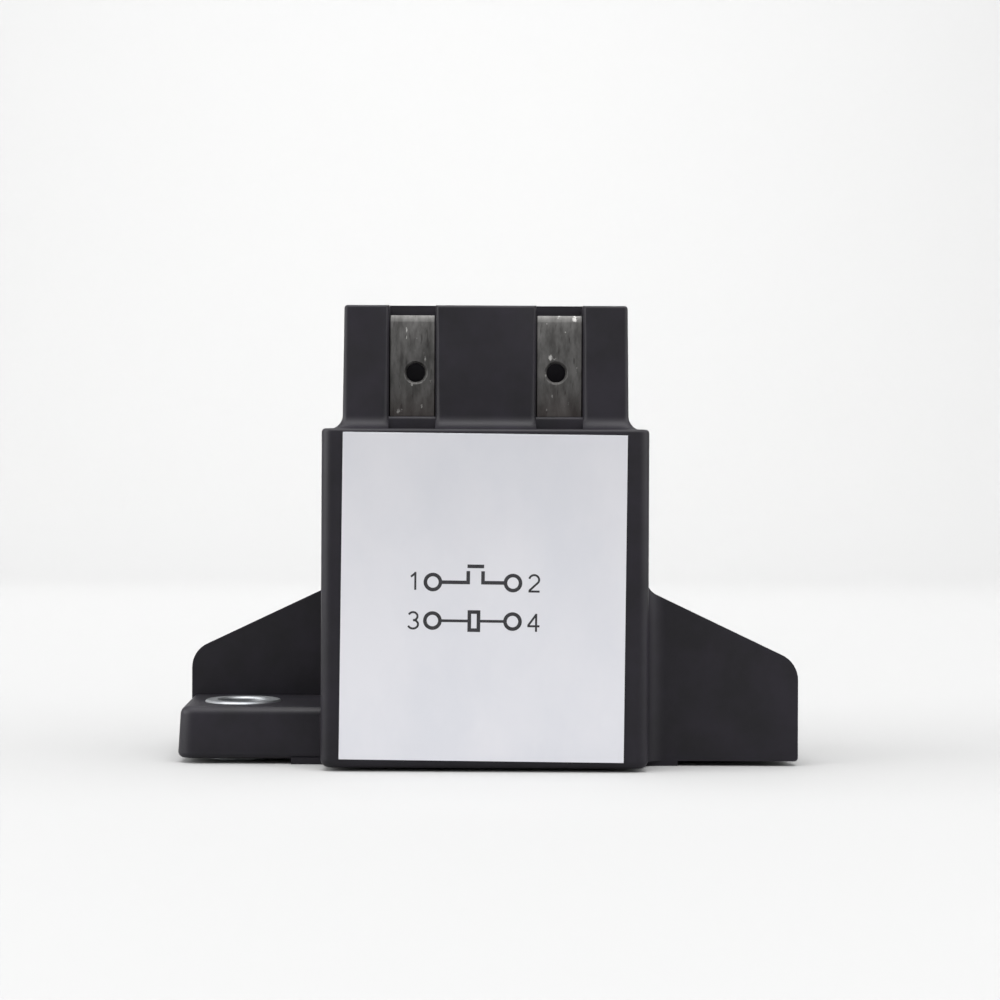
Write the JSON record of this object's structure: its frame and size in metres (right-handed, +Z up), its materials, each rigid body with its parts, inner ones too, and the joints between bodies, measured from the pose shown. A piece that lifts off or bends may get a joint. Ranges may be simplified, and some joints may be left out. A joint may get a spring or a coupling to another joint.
{
  "type": "high voltage dc contactor",
  "caption": "Small DC power relay in a black moulded case with blade terminals in a stepped head, gusseted mounting ears, and a plunger solenoid that lifts a contact bridge.",
  "frame": {"origin": "middle of the mounting plane under the case", "axes": "+X along the ears, to the right when facing the label; +Y from the label's face to the back; +Z up, towards the terminals"},
  "size_m": [0.0678, 0.0301, 0.0497],
  "materials": {
    "black_moulding": "fine moulded grain",
    "label_film": "matte silver-grey film",
    "plated_steel": "turned and zinc plated",
    "tinned_brass": "stamped and tin plated",
    "silver_alloy": "satin",
    "copper": "stamped",
    "thermoset": "moulded",
    "ferrite": "ground",
    "magnetic_steel": "plated",
    "bobbin_plastic": "moulded",
    "magnet_wire": "enamelled",
    "sleeve_brass": "drawn",
    "rubber": "moulded",
    "turned_steel": "turned",
    "spring_steel": "drawn wire"
  },
  "bodies": {
    "housing": {"case": "black_moulding", "base_cover": "black_moulding", "label": "label_film", "mounting_bushing_left": "plated_steel", "mounting_bushing_right": "plated_steel", "load_terminal_left": "tinned_brass", "load_terminal_right": "tinned_brass", "coil_terminal_left": "tinned_brass", "coil_terminal_right": "tinned_brass", "fixed_contact_tips": "silver_alloy", "arc_chamber": "thermoset", "chamber_lid": "thermoset", "blowout_magnet_left": "ferrite", "blowout_magnet_right": "ferrite", "yoke": "magnetic_steel", "yoke_plate": "magnetic_steel", "bobbin": "bobbin_plastic", "coil_winding": "magnet_wire", "coil_leads": "magnet_wire", "guide_sleeve": "sleeve_brass", "fixed_core": "magnetic_steel", "stop_pad": "rubber", "return_spring": "spring_steel"},
    "armature": {"plunger": "magnetic_steel", "shaft": "turned_steel", "spring_seat": "turned_steel", "retaining_clip": "turned_steel", "contact_spring": "spring_steel"},
    "bridge": {"contact_bridge": "copper", "moving_contact_tips": "silver_alloy"}
  },
  "joints": [
    {"name": "plunger_slide", "type": "slide", "parent": "housing", "child": "armature", "axis": [0, 0, 1], "range_m": [0, 0.002], "stiffness_N_per_m": 400, "springref_m": -0.004, "deforming": ["return_spring", "contact_spring"]},
    {"name": "bridge_slide", "type": "slide", "parent": "housing", "child": "bridge", "axis": [0, 0, 1], "range_m": [0, 0.0015]}
  ],
  "couplings": [
    {"joint": "bridge_slide", "follows": "plunger_slide", "ratio": 0.75}
  ]
}
